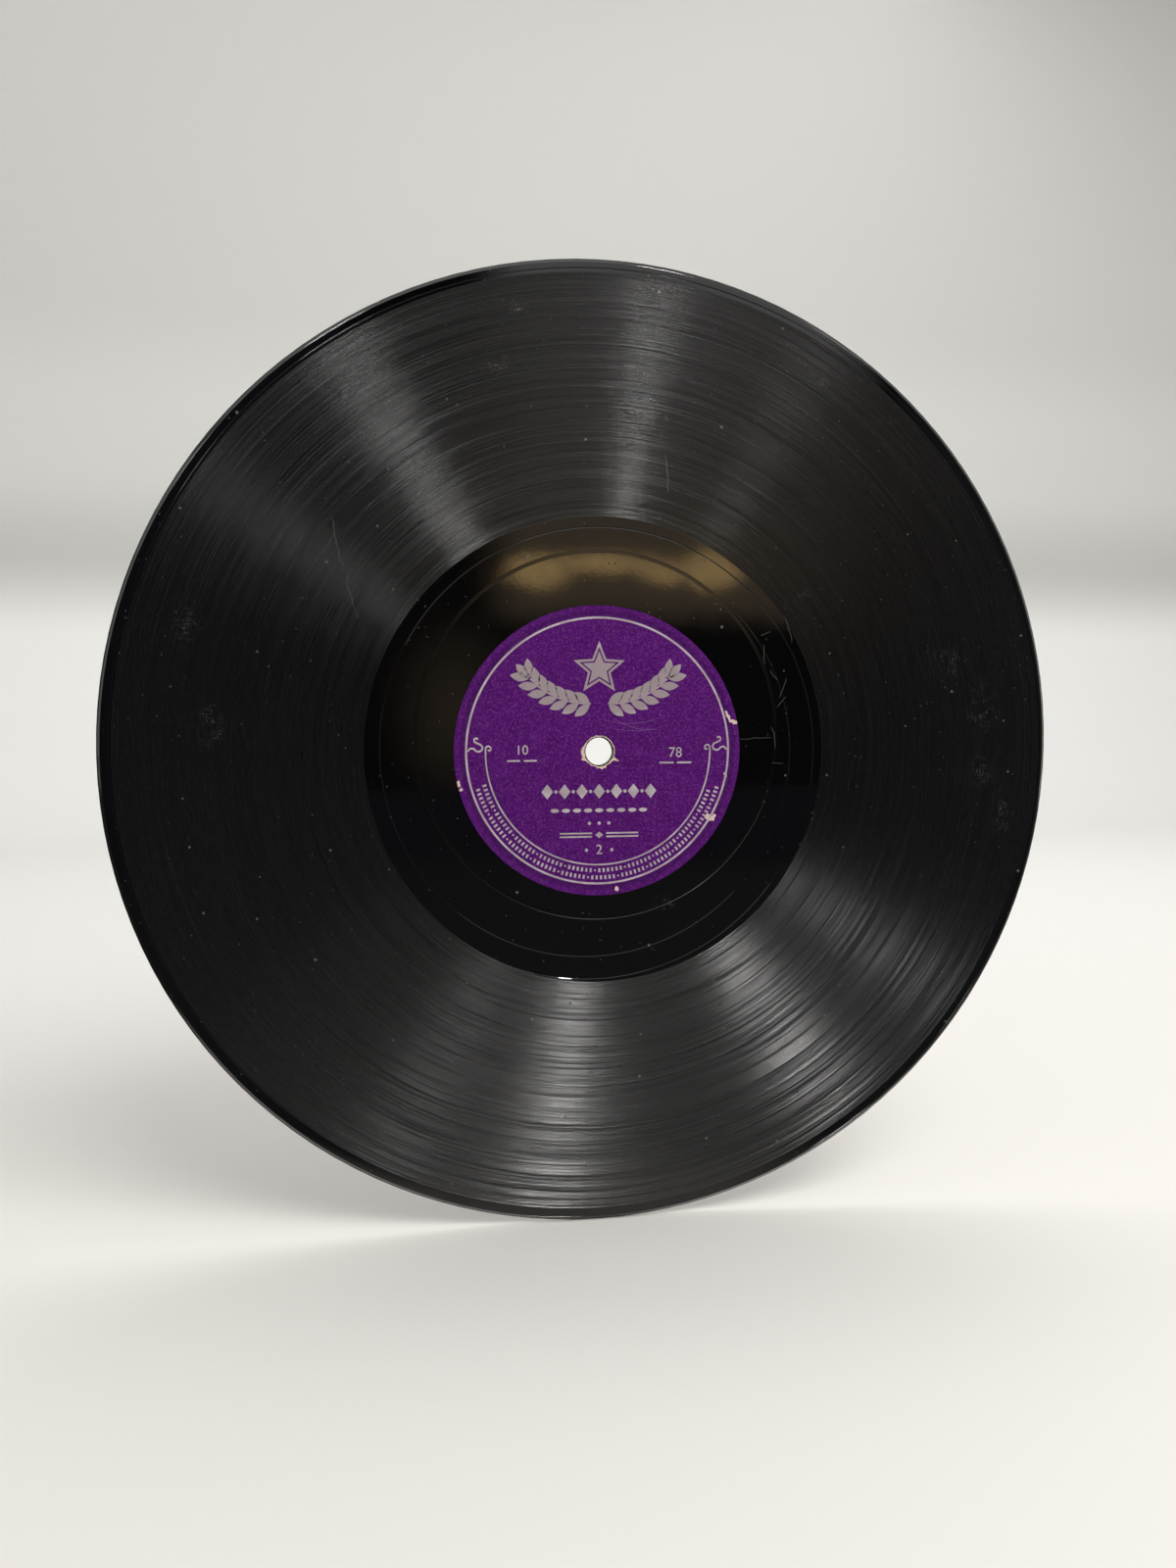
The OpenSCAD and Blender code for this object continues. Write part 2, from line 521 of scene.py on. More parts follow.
# %% Inside the band: two run-out turns, the stopping groove, the label's seat and the hole
RUN_OUT_TURNS = [(60.9, 0.05), (60.8, 0), (56.2, 0), (56.0, 0.05), (55.8, 0)]
STOP_TURN = [(48.6, 0), (48.35, 0.1), (47.85, 0.1), (47.6, 0)]
last = (BAND_OUT + GROOVE_HALF - TURNS * PITCH, FACE_Z)
land_points = [(out, FACE_Z - deep) for out, deep in RUN_OUT_TURNS + STOP_TURN]
land_points += [(SEAT_R, FACE_Z), (SEAT_R, SEAT_Z), (HOLE_R, SEAT_Z), (HOLE_R, 0)]
pick(disc_front, lambda at: at.x < last[0] + 0.01)
draw_line(last, land_points)
leave_edit()
section_count = len(disc_front.data.vertices)
print("section points:", section_count)

# %% Spin the section
RINGS = 128
edit()
select_all()
bpy.ops.mesh.spin(
    steps=RINGS, angle=2 * math.pi, center=(0, 0, 0), axis=(0, 0, 1), use_auto_merge=False)
leave_edit()
print("spun points:", len(disc_front.data.vertices), "=", section_count, "x", RINGS + 1)

# %% [markdown]
# ## One long groove
# A spun line gives closed rings, but a record has one spiral. The rings are kept and moved:
# after one turn, the end of each ring is shifted onto the start of the next ring inwards, and
# the two ends are merged. The whole path is one list of radii, from the lead-in at the
# rim, through the band, to the run-out turns that swing into the off-centre stopping groove.

# %% Path of the groove
LEAD_TURNS = 1
SEAM_ANGLE = 250.0
RUN_OUT = [
    (0.06, 60.25), (0.14, 59.5), (0.30, 58.65), (0.42, 58.4), (0.56, 58.25), (0.72, 57.4),
    (0.86, 56.6), (1.0, 55.1), (1.12, 53.3), (1.24, 52.3), (1.36, 51.95), (1.458, 51.8),
]
BAND_END = LEAD_TURNS + TURNS
RUN_OUT_END = BAND_END + RUN_OUT[-1][0]
path_turn = np.arange((BAND_END + 2) * RINGS + 1) / RINGS
knots = [(0.0, FLAT_R), (LEAD_TURNS, BAND_OUT), (BAND_END, BAND_OUT - TURNS * PITCH)]
knots = np.array(knots + [(BAND_END + turn, out) for turn, out in RUN_OUT])
path_r = np.interp(path_turn, knots[:, 0], knots[:, 1])
run_out = path_turn > BAND_END + 0.05
smooth = np.convolve(np.pad(path_r, 6, mode="edge"), np.ones(13) / 13, mode="valid")
path_r[run_out] = smooth[run_out]
print("groove length:", round(float(np.sum(path_r) * 2 * math.pi / RINGS / 1000), 1), "m")

# %% Width, depth and loudness along the path
LEAD_HALF, LEAD_DEEP = 0.15, 0.17
RUN_HALF, RUN_DEEP = 0.17, 0.08
rng = np.random.default_rng(78)


def wander(count, reach):
    """Smooth random numbers with a spread of 1, each blended over its neighbours."""
    raw = np.convolve(rng.normal(size=count + 2 * reach), np.hanning(2 * reach + 1), mode="valid")
    return raw / raw.std()


loud = 1 + 0.12 * wander(len(path_turn), 40) + 0.10 * wander(len(path_turn), 3)
fade = [0, 0.08, 0.9, LEAD_TURNS, BAND_END, BAND_END + 0.3, RUN_OUT_END - 0.05, RUN_OUT_END]
halves = [0, LEAD_HALF, LEAD_HALF, GROOVE_HALF, GROOVE_HALF, RUN_HALF, RUN_HALF, 0]
depths = [0, LEAD_DEEP, LEAD_DEEP, GROOVE_DEEP, GROOVE_DEEP, RUN_DEEP, RUN_DEEP, 0]
path_half = np.interp(path_turn, fade, halves)
path_deep = np.interp(path_turn, fade, depths)
band = (path_turn > 0.1) & (path_turn < BAND_END)
path_deep[band] *= np.clip(loud[band], 0.5, 1.5)
path_r[band] += 0.012 * wander(len(path_turn), 2)[band]
print("groove depth:", path_deep[band].min().round(3), "to", path_deep[band].max().round(3), "mm")

# %% Stopping groove
STOP_R = 48.1
STOP_OFF = 4.0
STOP_ACROSS = np.array([0.40, 0.30, -0.30, -0.40])
STOP_DEEP = np.array([0, 0.1, 0.1, 0])


def stop_radius(angle):
    """Distance from the spindle to the stopping groove, whose own centre lies above the spindle."""
    return STOP_OFF * np.sin(angle) + np.sqrt(STOP_R**2 - (STOP_OFF * np.cos(angle)) ** 2)


print("stopping groove:", [stop_radius(turn).round(1) for turn in (-math.pi / 2, math.pi / 2)], "mm")

# %% Move every point of the spun rings onto the path
def points_of(piece):
    """The places of a mesh's vertices in millimetres, one row each."""
    flat = np.empty(len(piece.data.vertices) * 3, np.float32)
    piece.data.vertices.foreach_get("co", flat)
    return flat.reshape(-1, 3).astype(float) / MM


def put_points(piece, points):
    """Give a mesh's vertices new places in millimetres."""
    piece.data.vertices.foreach_set("co", (points * MM).astype(np.float32).ravel())
    piece.data.update()


points = points_of(disc_front)
radius = np.hypot(points[:, 0], points[:, 1])
height = points[:, 2].copy()
turned = np.degrees(np.arctan2(points[:, 1], points[:, 0])) % 360
ring = np.rint(turned / (360 / RINGS)).astype(int) % RINGS
ring[(ring == 0) & (np.arange(len(ring)) < section_count)] = RINGS
angle = np.radians(SEAM_ANGLE + ring * 360 / RINGS)
grooved = (radius > SEAT_R + 1) & (radius < FLAT_R - 1)
section_r = np.sort(radius[:section_count][grooved[:section_count]])[::-1]
rank = np.searchsorted(-section_r, -radius - 0.004)
track, role = rank // 3, rank % 3
print("groove points in each ring:", len(section_r))

# %% Give the groove its places
spiral = grooved & (track < BAND_END + 2)
along = np.minimum(track * RINGS + ring, len(path_turn) - 1)
across = np.array([1, 0, -1])[role]
stop_edge = stop_radius(angle) + STOP_ACROSS[0]
ended = spiral & (path_turn[along] >= RUN_OUT_END)
radius[spiral] = (path_r[along] + across * path_half[along])[spiral]
height[spiral] = (FACE_Z - (role == 1) * path_deep[along])[spiral]
radius[ended] = stop_edge[ended]
height[ended] = FACE_Z
stopping = grooved & ~spiral
place_in_stop = np.clip(rank - 3 * (BAND_END + 2), 0, 3)
radius[stopping] = (stop_radius(angle) + STOP_ACROSS[place_in_stop])[stopping]
height[stopping] = (FACE_Z - STOP_DEEP[place_in_stop])[stopping]
put_points(disc_front, np.column_stack([radius * np.cos(angle), radius * np.sin(angle), height]))
print("points moved onto the path:", int(spiral.sum() + stopping.sum()))

# %% Join the ends, close the half and mark its edges
edit()
select_all()
bpy.ops.mesh.remove_doubles(threshold=2e-6)
bpy.ops.mesh.dissolve_degenerate(threshold=1e-7)
close_shell()
bpy.ops.mesh.faces_shade_smooth()
bpy.ops.mesh.select_mode(type="EDGE")
bpy.ops.mesh.select_all(action="DESELECT")
bpy.ops.mesh.edges_select_sharp(sharpness=math.radians(12))
leave_edit()
points = points_of(disc_front)
radius = np.hypot(points[:, 0], points[:, 1])
for edge in disc_front.data.edges:
    spot = edge.vertices[0]
    in_bottom = BAND_IN < radius[spot] < FLAT_R and points[spot, 2] < FACE_Z - 0.02
    on_rim = radius[spot] > FLAT_R and points[spot, 2] > 0.01
    edge.select = edge.select and not in_bottom and not on_rim
edit()
bpy.ops.mesh.mark_sharp()
leave_edit()
disc_front.data.calc_loop_triangles()
print("front half:", len(disc_front.data.loop_triangles), "triangles")

# %% Stand the front half up
def stand_up(piece):
    """Turn a piece that lies flat, face up, so that its face looks to the front."""
    make_active(piece)
    piece.rotation_euler = (math.pi / 2, 0, 0)
    bpy.ops.object.transform_apply(rotation=True)


stand_up(disc_front)
print("front half stands from", [round(value * 1000, 2) for value in disc_front.bound_box[0]], "mm")

# %% [markdown]
# ## The other half
# A record's back is pressed like its front, and winds the same way seen from its own side. A
# mirror would wind it backwards, so the front half is copied and turned half round.

# %% Copy for the back
def turned_copy(piece, name):
    """A copy with its own mesh, turned half round on the upright axis."""
    make_active(piece)
    bpy.ops.object.duplicate()
    copy = bpy.context.object
    copy.name = name
    copy.rotation_euler = (0, 0, math.pi)
    bpy.ops.object.transform_apply(rotation=True)
    return copy


disc_back = turned_copy(disc_front, "disc_back")
for half in (disc_front, disc_back):
    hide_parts("record_disc")
    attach(half, "root")
print("halves:", disc_front.name, disc_back.name)

# %% [markdown]
# ## Shellac
# Shellac is hard, dark and glossy, and an old disc is worn: the plain land keeps its gloss, the
# grooves are dulled, and dust and scuffs sit on top. A picture of a worn disc could be laid
# over it. Nodes that read the place on the disc do it without a picture, and follow the
# groove by taking the distance from the spindle.

# %% Where a spot lies on the disc
INNER_EDGE = (60.85, 61.05)
OUTER_EDGE = (122.8, 122.65)
shellac, tree, shader, place = new_material("shellac")
flat = vector_calc(tree, "MULTIPLY", place, (1, 0, 1))
out = vector_calc(tree, "LENGTH", flat)
radial = vector_calc(tree, "NORMALIZE", flat)
across, deep, up = split(tree, place)
side = calc(tree, "SIGN", deep)


def along_groove(round_scale, out_scale):
    """A place for noise that changes slowly round the disc and fast across its turns."""
    shift = tree.nodes.new("ShaderNodeCombineXYZ")
    own_face = times(tree, side, 50)
    wire(tree, calc(tree, "MULTIPLY_ADD", out, out_scale, own_face), shift.inputs["Y"])
    return vector_calc(tree, "MULTIPLY_ADD", radial, (round_scale,) * 3, shift.outputs[0])


in_band = times(tree, ramp(tree, out, *INNER_EDGE), ramp(tree, out, *OUTER_EDGE))
print("shellac nodes so far:", len(tree.nodes))

# %% Tilt of the groove walls
LEAN = 0.72
normal = tree.nodes.new("ShaderNodeNewGeometry").outputs["Normal"]
wall = vector_calc(tree, "DOT_PRODUCT", normal, radial)
outward = calc(tree, "GREATER_THAN", wall, 0.0)
tracks = noise(tree, along_groove(0.5, 2.4), 1, 4, 0.75)
lean = ramp(tree, calc(tree, "ABSOLUTE", wall), 0.0, 0.55)
lean = times(tree, lean, ramp(tree, tracks, 0.3, 0.7, 0.84 * LEAN, 1.16 * LEAN))
lift = calc(tree, "MULTIPLY_ADD", lean, calc(tree, "SIGN", wall), times(tree, wall, -1.0))
bend = vector_calc(tree, "MULTIPLY", radial, times(tree, lift, in_band))
wall_normal = vector_calc(tree, "NORMALIZE", vector_calc(tree, "ADD", normal, bend))
print("shellac nodes so far:", len(tree.nodes))

# %% Gloss of the land and of the band
BLACK = (0.0016, 0.0015, 0.0016, 1)
PALER_BLACK = (0.0026, 0.0024, 0.0024, 1)
clouds = noise(tree, place, 0.05, 3)
land_rough = ramp(tree, clouds, 0.3, 0.7, 0.04, 0.06)
from_stop = calc(tree, "SUBTRACT", vector_calc(tree, "DISTANCE", flat, (0, 0, STOP_OFF)), STOP_R)
in_stop = ramp(tree, calc(tree, "ABSOLUTE", from_stop), 0.6, 0.4)
land_rough = calc(tree, "MULTIPLY_ADD", in_stop, 0.12, land_rough)
band_rough = calc(tree, "MULTIPLY_ADD", outward, -0.05, ramp(tree, tracks, 0.35, 0.65, 0.30, 0.16))
rough = calc(tree, "MULTIPLY_ADD", in_band, calc(tree, "SUBTRACT", band_rough, land_rough), land_rough)
black = mix(tree, clouds, BLACK, PALER_BLACK)
shader.inputs["IOR"].default_value = 1.54
print("shellac nodes so far:", len(tree.nodes))

# %% Helpers for wear
chart = tree.nodes.new("ShaderNodeCombineXYZ")
wire(tree, calc(tree, "MULTIPLY_ADD", side, 300, across), chart.inputs["X"])
wire(tree, up, chart.inputs["Y"])


def specks(cell, size, share):
    """Round specks of a size in millimetres: one in each cell at most, in a share of the cells."""
    cells = tree.nodes.new("ShaderNodeTexVoronoi")
    cells.voronoi_dimensions = "2D"
    wire(tree, chart.outputs[0], cells.inputs["Vector"])
    wire(tree, 1 / cell, cells.inputs["Scale"])
    chance = tree.nodes.new("ShaderNodeSeparateColor")
    wire(tree, cells.outputs["Color"], chance.inputs[0])
    reach = calc(tree, "MULTIPLY_ADD", chance.outputs[1], 0.8 * size / cell, 0.5 * size / cell)
    spot = ramp(tree, cells.outputs["Distance"], reach, times(tree, reach, 0.3))
    return times(tree, spot, calc(tree, "LESS_THAN", chance.outputs[0], share))


def scratch(tree, spot, start, end, thin):
    """A fine straight mark between two points of the upright plane, in millimetres."""
    reach = np.array([end[0] - start[0], 0, end[1] - start[1]])
    length = float(np.linalg.norm(reach))
    way = reach / length
    step = vector_calc(tree, "SUBTRACT", spot, (start[0], 0, start[1]))
    run = vector_calc(tree, "DOT_PRODUCT", step, tuple(way))
    away = calc(tree, "ABSOLUTE", vector_calc(tree, "DOT_PRODUCT", step, (-way[2], 0, way[0])))
    begun = ramp(tree, run, 0, 0.2 * length)
    left = ramp(tree, run, length, 0.8 * length)
    return times(tree, ramp(tree, away, thin, 0.3 * thin), times(tree, begun, left))


print("wear helpers are ready")

# %% Dust, scuffs and scratches
SCUFFS = [
    ((-20.6, 113), 6, 3), ((-26.2, 98.9), 5, 5), ((-59, 80.8), 6, 5), ((-104, 31.6), 5, 8),
    ((-98.5, 7.4), 5, 8), ((106.5, 11), 6, 11), ((107, -6), 5, 7), ((55.4, 40.6), 4, 4),
    ((114, -18), 5, 8), ((97, 24), 9, 6), ((60, 98), 5, 3), ((17.5, -40.5), 5, 3),
]
SCRATCHES = [
    ((-67.7, 61.7), (-63.5, 46)), ((-64.0, 48), (-60.3, 33.9)), ((18.8, 79.5), (19.9, 67.9)),
    ((52.3, 21), (50.3, 15)), ((38.6, 4.3), (48.5, 4.2)), ((49.5, 12.5), (52, 15.5)),
    ((48.3, -2), (51.5, -2.6)), ((47.9, 8), (49.3, 1)), ((44.5, 31.5), (47.5, 32.6)),
    ((45.5, 29.5), (46.6, 24)), ((51.4, 38), (53.3, 29)), ((47.2, 22.5), (49.4, 19.5)),
]
SCRATCH_THIN = 0.14
DUST_GREY = (0.22, 0.215, 0.205, 1)
bent_place = vector_calc(tree, "ADD", flat, times(tree, noise(tree, place, 0.15, 2), 2.5))
grit = ramp(tree, noise(tree, place, 2.6, 2), 0.54, 0.66)
grit = times(tree, grit, ramp(tree, noise(tree, place, 0.45, 2), 0.42, 0.58))
clumps = ramp(tree, noise(tree, place, 0.07, 2), 0.5, 0.7, 0.01, 0.10)
dust = specks(1.7, 0.26, clumps)
lines = times(tree, ramp(tree, tracks, 0.50, 0.72), 0.034)
flecks = ramp(tree, noise(tree, along_groove(150, 2.6), 1, 2), 0.52, 0.75)
flecks = times(tree, flecks, 0.030)
marks = [
    times(tree, dust, 0.12),
    times(tree, specks(5, 0.22, 0.25), 0.2),
    times(tree, specks(17, 0.42, 0.4), 0.45),
    times(tree, calc(tree, "ADD", lines, flecks), in_band),
]
marks += [times(tree, patch(tree, place, *scuff), grit, 0.3) for scuff in SCUFFS]
for start, end in SCRATCHES:
    marks.append(times(tree, scratch(tree, bent_place, start, end, SCRATCH_THIN), 0.24))
wear = largest(tree, marks)
wire(tree, mix(tree, wear, black, DUST_GREY), shader.inputs["Base Color"])
dull = calc(tree, "MAXIMUM", wear, dust)
wire(tree, calc(tree, "MULTIPLY_ADD", dull, 0.5, rough), shader.inputs["Roughness"])
print("shellac nodes so far:", len(tree.nodes))

# %% Fine relief of the wear, and the finished shellac
relief = tree.nodes.new("ShaderNodeBump")
relief.inputs["Strength"].default_value = 0.25
relief.inputs["Distance"].default_value = 0.01 * MM
wire(tree, noise(tree, place, 0.9, 3), relief.inputs["Height"])
wire(tree, wall_normal, relief.inputs["Normal"])
wire(tree, relief.outputs[0], shader.inputs["Normal"])
for half in (disc_front, disc_back):
    half.data.materials.append(shellac)
print("shellac nodes:", len(tree.nodes))

# %% [markdown]
# ## The label's paper
# The label is a disc of uncoated paper that was pressed into the hot shellac, so it lies flush and
# bears a ring from the press near its edge. Round the hole it is worn through: the dyed face has
# come off in ragged flakes and the pale core shows. A flat disc with a painted edge would look
# printed, so the section is spun, and its two innermost rings are then torn point by point, to
# leave a real step between the face and the core.

# %% Draw and spin the paper
PAPER_Z = FACE_Z - 0.02
PAPER_THICK = 0.15
PAPER_BACK_Z = PAPER_Z - PAPER_THICK
CORE_DEEP = 0.05
PAPER_RINGS = 240
FACE_EDGE_R, CORE_EDGE_R, PAPER_HOLE_R = 4.5, 4.45, 3.9
PAPER_SECTION = [
    (LABEL_R, PAPER_THICK), (LABEL_R, 0.03), (LABEL_R - 0.04, 0), (36.8, 0), (36.6, 0.02),
    (35.95, 0.115), (35.8, 0.125), (35.65, 0.115), (35.4, 0.02), (35.3, 0),
    (28, 0), (18, 0), (10, 0), (7.5, 0), (FACE_EDGE_R, 0),
    (CORE_EDGE_R, CORE_DEEP), (PAPER_HOLE_R, CORE_DEEP), (PAPER_HOLE_R, PAPER_THICK),
]
paper_line = [(out, PAPER_Z - deep) for out, deep in PAPER_SECTION]
front_paper = start_point("front_paper", *paper_line[0])
draw_line(paper_line[0], paper_line[1:])
select_all()
bpy.ops.mesh.spin(steps=PAPER_RINGS, angle=2 * math.pi, center=(0, 0, 0), axis=(0, 0, 1))
select_all()
bpy.ops.mesh.remove_doubles(threshold=1e-6)
close_shell()
leave_edit()
print("paper points:", len(front_paper.data.vertices))

# %% Tear the paper round the hole
TORN_R = 4.1
TORN_HOLE_R, LEAST_HOLE_R = 3.92, 3.7
TEARS = [
    (186, 0.85, 44), (172, 0.35, 8), (207, 0.30, 7), (334, 1.5, 6), (322, 0.5, 18),
    (281, 0.60, 15), (293, 0.45, 5), (262, 0.45, 6), (240, 0.2, 8), (101, 0.28, 7),
    (120, 0.22, 4), (64, 0.15, 6), (20, 0.12, 9),
]


def ragged(angle, size):
    """Closed ragged line: fixed sine waves of short and shorter length."""
    waves = [(5, 1.1), (11, 0.8), (17, 0.9), (29, 0.7), (41, 0.5), (53, 0.35)]
    return size * sum(height * np.sin(count * angle + 1.7 * count) for count, height in waves) / 2


points = points_of(front_paper)
radius = np.hypot(points[:, 0], points[:, 1])
angle = np.arctan2(points[:, 1], points[:, 0])
degrees = np.degrees(angle) % 360
tear = TORN_R + 0.05 * (1 + ragged(angle, 1))
for middle, reach, width in TEARS:
    away = np.abs((degrees - middle + 180) % 360 - 180)
    tear += reach * np.clip(1 - away / width, 0, 1) ** 1.3 * (1 + 0.35 * ragged(angle, 1))
face_edge = np.abs(radius - FACE_EDGE_R) < 0.02
core_edge = np.abs(radius - CORE_EDGE_R) < 0.02
hole_edge = np.abs(radius - PAPER_HOLE_R) < 0.02
radius[face_edge] = tear[face_edge]
radius[core_edge] = tear[core_edge] - 0.03
torn_hole = np.clip(TORN_HOLE_R + ragged(angle, 0.07), LEAST_HOLE_R, tear - 0.12)
radius[hole_edge] = torn_hole[hole_edge]
torn = np.column_stack([radius * np.cos(angle), radius * np.sin(angle), points[:, 2]])
put_points(front_paper, torn)
print("torn from", tear.min().round(2), "to", tear.max().round(2), "mm")

# %% Soften the press ring, keep the torn step sharp, and stand the paper up
make_active(front_paper)
bpy.ops.object.shade_smooth_by_angle(angle=math.radians(35))
stand_up(front_paper)
back_paper = turned_copy(front_paper, "back_paper")
for paper, node in ((front_paper, "front_label"), (back_paper, "back_label")):
    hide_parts(node)
    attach(paper, "root")
print("papers:", front_paper.name, back_paper.name)

# %% [markdown]
# ## The print
# The print is a thin film of silver ink on the paper: rings, curled ends, a star between two
# laurel sprays, plain numbers, and rows of small bars where a label carries its lines. It
# could be painted with nodes. As thin solid shapes it keeps crisp edges. Each kind of mark is
# modelled once, then copied into place.

# %% Helpers for ink
INK_LOW = PAPER_Z - 0.004
INK_HIGH = PAPER_Z + 0.011
INK_THICK = INK_HIGH - INK_LOW
INK_MIDDLE = (INK_HIGH + INK_LOW) / 2
ink_marks = []


def finish_mark(name):
    """Give the flat face being edited the thickness of the ink, and leave edit mode."""
    select_all()
    bpy.ops.mesh.extrude_region_move(TRANSFORM_OT_translate={"value": (0, 0, INK_THICK * MM)})
    select_all()
    bpy.ops.mesh.normals_make_consistent(inside=False)
    leave_edit()
    mark = bpy.context.object
    mark.name = name
    return mark


def flat_circle(corners, radius):
    """A filled circle of so many corners, at the foot of the ink."""
    deselect()
    bpy.ops.mesh.primitive_circle_add(
        vertices=corners, radius=radius * MM, fill_type="NGON", location=(0, 0, INK_LOW * MM))
    bpy.ops.object.transform_apply(location=True)


def press_flat(width):
    """Press the shape being edited, of a round section, to the thickness of the ink."""
    select_all()
    bpy.ops.transform.resize(value=(1, 1, INK_THICK / width))
    bpy.ops.transform.translate(value=(0, 0, INK_MIDDLE * MM))


def ink_disc(name, corners, wide, high):
    """A flat ink shape from a circle of so many corners, stretched to a width and a height."""
    flat_circle(corners, 0.5)
    edit()
    bpy.ops.transform.resize(value=(wide, high, 1))
    return finish_mark(name)


def stamp(mark, x, y, turn=0.0, scale=1.0):
    """A copy of a mark at a place on the label, turned by some degrees."""
    make_active(mark)
    bpy.ops.object.duplicate()
    copy = bpy.context.object
    copy.location = (x * MM, y * MM, 0)
    copy.rotation_euler = (0, 0, math.radians(turn))
    copy.scale = (scale, scale, 1)
    ink_marks.append(copy)
    return copy


def around(middle, radius, turn):
    """The point at a distance and an angle in radians from a middle."""
    return middle[0] + radius * math.cos(turn), middle[1] + radius * math.sin(turn)


def put_away(mark):
    """Delete a mark that was only the pattern for copies."""
    bpy.data.objects.remove(mark)


print("ink is", round(INK_THICK, 3), "mm thick")

# %% Rings
def ink_ring(name, radius, width):
    """A ring of ink: a thin torus, pressed flat."""
    deselect()
    bpy.ops.mesh.primitive_torus_add(
        major_radius=radius * MM, minor_radius=width / 2 * MM, major_segments=160, minor_segments=6)
    ring = bpy.context.object
    ring.name = name
    edit()
    press_flat(width)
    return ring


CURL_LINE = 0.6
RING_R, RING_LINE = 34.9, 0.52
ARC_R, ARC_LINE = 29.9, 0.40
outer_ring = ink_ring("ring", RING_R, RING_LINE)
leave_edit()
ink_marks.append(outer_ring)
inner_arc = ink_ring("arc", ARC_R, ARC_LINE)
bpy.ops.mesh.bisect(
    plane_co=(0, CURL_LINE * MM, 0), plane_no=(0, 1, 0), use_fill=True, clear_outer=True)
leave_edit()
ink_marks.append(inner_arc)
print("rings:", len(ink_marks))

# %% Curls that join the arc to the ring
def ink_stroke(name, points, width):
    """A line of ink through points: a smooth curve of round section, pressed flat as a mesh."""
    deselect()
    bpy.ops.curve.primitive_bezier_curve_add()
    stroke = bpy.context.object
    stroke.name = name
    spline = stroke.data.splines[0]
    spline.bezier_points.add(len(points) - 2)
    for knot, (x, y) in zip(spline.bezier_points, points):
        knot.co = (x * MM, y * MM, 0)
        knot.handle_left_type = knot.handle_right_type = "AUTO"
    stroke.data.resolution_u = 6
    stroke.data.bevel_depth = width / 2 * MM
    stroke.data.bevel_resolution = 1
    stroke.data.use_fill_caps = True
    bpy.ops.object.convert(target="MESH")
    edit()
    press_flat(width)
    bpy.ops.mesh.remove_doubles(threshold=1e-6)
    bpy.ops.mesh.normals_make_consistent(inside=False)
    leave_edit()
    ink_marks.append(stroke)
    return stroke


CURL = [
    (ARC_R, CURL_LINE - 0.1), (29.7, 1.3), (29.0, 1.5), (28.5, 1.0), (28.8, 0.4), (29.3, 0.6),
]
HOOK = [
    (34.5, 0.2), (33.9, 0.9), (33.0, 0.9), (32.3, 0.3), (31.4, 0.2), (30.7, 0.9),
    (31.0, 1.8), (32.0, 2.3), (32.8, 2.9), (32.5, 3.6), (31.8, 3.4),
]
CURL_WIDE, HOOK_WIDE = 0.42, 0.46
for side_name, way in (("right", 1), ("left", -1)):
    ink_stroke("curl_" + side_name, [(way * x, y) for x, y in CURL], CURL_WIDE)
    ink_stroke("hook_" + side_name, [(way * x, y) for x, y in HOOK], HOOK_WIDE)
print("marks so far:", len(ink_marks))

# %% Star
def ink_star(name, radius, line=0):
    """A five-pointed star of ink, or only its outline of a line's width."""
    flat_circle(10, radius)
    pick(bpy.context.object, lambda at: round(math.degrees(math.atan2(at.x, at.y)) / 36) % 2 == 1)
    bpy.ops.transform.resize(value=(0.44, 0.44, 1), center_override=(0, 0, INK_LOW * MM))
    select_all()
    if line:
        bpy.ops.mesh.inset(thickness=line * MM)
        bpy.ops.mesh.delete(type="ONLY_FACE")
    return finish_mark(name)


STAR_UP = 21.6
for star in (ink_star("star_outline", 7.2, 0.6), ink_star("star", 4.6)):
    stamp(star, 0, STAR_UP)
    put_away(star)
print("marks so far:", len(ink_marks))

# %% Laurel sprays
LEAF_LONG = 5.0
LEAF_OUT = 0.62
leaf = ink_disc("leaf", 16, LEAF_LONG, 2.3)
points = points_of(leaf)
points[:, 1] *= np.sqrt(np.clip(1 - (2 * points[:, 0] / LEAF_LONG) ** 2, 0, 1))
put_points(leaf, points)
SPRAY_MIDDLE = (3.0, 33.6)
SPRAY_R = 21.1
STEM_WIDE = 0.5
spray = [math.radians(turn) for turn in range(-92, -40, 8)]
for way in (1, -1):
    stem = [around(SPRAY_MIDDLE, SPRAY_R, turn) for turn in spray]
    ink_stroke("stem", [(way * x, y) for x, y in stem], STEM_WIDE)
    for turn, root in zip(spray, stem):
        spread = (LEAF_OUT, -LEAF_OUT) if turn < spray[-1] else (LEAF_OUT, 0, -LEAF_OUT)
        for lean in spread:
            aim = turn + math.pi / 2 + lean
            x, y = around(root, LEAF_LONG / 2 + 0.35, aim)
            stamp(leaf, way * x, y, way * math.degrees(aim))
put_away(leaf)
print("marks so far:", len(ink_marks))

# %% Rows of small marks
lozenge = ink_disc("lozenge", 4, 3.1, 3.9)
dot = ink_disc("dot", 12, 0.9, 0.9)
petal = ink_disc("petal", 8, 2.3, 1.1)
LOZENGE_ROW, LOZENGE_STEP = -10.5, 4.6
PETAL_ROW, PETAL_STEP = -15.5, 2.95
DOT_ROW, DOT_STEP = -18.9, 2.6
BAR_ROW = -22.0
SIDE_ROW = -26.0
for number in range(7):
    x = LOZENGE_STEP * (number - 3)
    stamp(lozenge, x, LOZENGE_ROW)
    if number < 6:
        stamp(dot, x + LOZENGE_STEP / 2, LOZENGE_ROW)
for number in range(9):
    stamp(petal, PETAL_STEP * (number - 4), PETAL_ROW)
for number in range(3):
    stamp(dot, DOT_STEP * (number - 1), DOT_ROW)
for way in (1, -1):
    stamp(dot, way * 3.4, SIDE_ROW)
